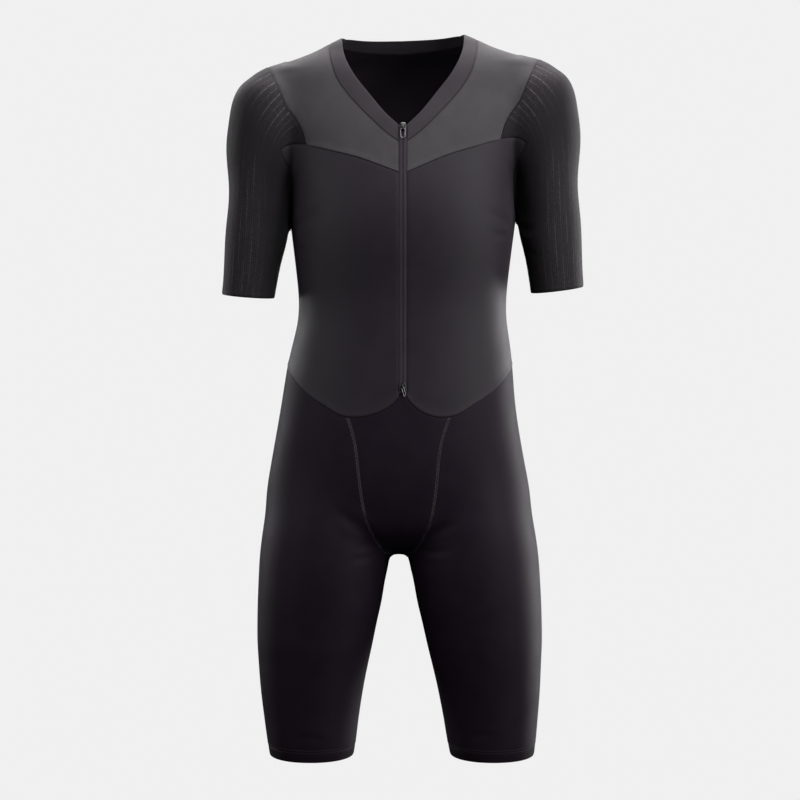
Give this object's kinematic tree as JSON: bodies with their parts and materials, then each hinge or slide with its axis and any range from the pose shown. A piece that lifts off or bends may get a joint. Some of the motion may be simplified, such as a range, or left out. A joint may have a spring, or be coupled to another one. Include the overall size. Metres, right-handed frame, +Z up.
{
  "type": "cycling skinsuit",
  "caption": "Short-sleeved one-piece cycling skinsuit in its worn, hollow form, with a low scooped neck, ribbed sleeves, thigh-length legs and a full-length two-way front zip.",
  "frame": {"origin": "the middle of the neck opening, level with the sides of the wearer's neck, where the wearer holds the suit up", "axes": "+X across the body to the viewer's right, -Y out of the suit's front, +Z up along the standing wearer"},
  "size_m": [0.4959, 0.225, 0.9964],
  "materials": {
    "yoke_knit": "matt knit, dark warm grey",
    "front_knit": "smooth matt knit, charcoal",
    "ribbed_knit": "ribbed matt knit, black",
    "leg_knit": "fine knit with a slight sheen, black",
    "band_knit": "matt double knit, dark grey",
    "zip_tape": "woven tape, black",
    "coated_metal": "satin black coating",
    "bare_metal": "satin, pale grey"
  },
  "bodies": {
    "suit": {"yoke_left": "yoke_knit", "yoke_right": "yoke_knit", "front_left": "front_knit", "front_right": "front_knit", "back": "front_knit", "sleeve_left": "ribbed_knit", "sleeve_right": "ribbed_knit", "gusset": "leg_knit", "leg_left": "leg_knit", "leg_right": "leg_knit", "leg_band_left": "leg_knit", "leg_band_right": "leg_knit", "neckband": "band_knit", "zip_tape_left": "zip_tape", "zip_tape_right": "zip_tape", "zip_chain": "zip_tape", "slider_top": "coated_metal", "slider_bottom": "coated_metal"},
    "top_pull": {"pull_top": "bare_metal"},
    "bottom_pull": {"pull_bottom": "bare_metal"}
  },
  "joints": [
    {"name": "top_pull_swing", "type": "hinge", "parent": "suit", "child": "top_pull", "pos_m": [0.001, -0.08863, -0.12511], "axis": [-0.9996, 0, -0.0297], "range_deg": [0, 170]},
    {"name": "bottom_pull_swing", "type": "hinge", "parent": "suit", "child": "bottom_pull", "pos_m": [0.001, -0.09846, -0.47161], "axis": [-0.9659, -0.0099, -0.2586], "range_deg": [0, 120]}
  ]
}
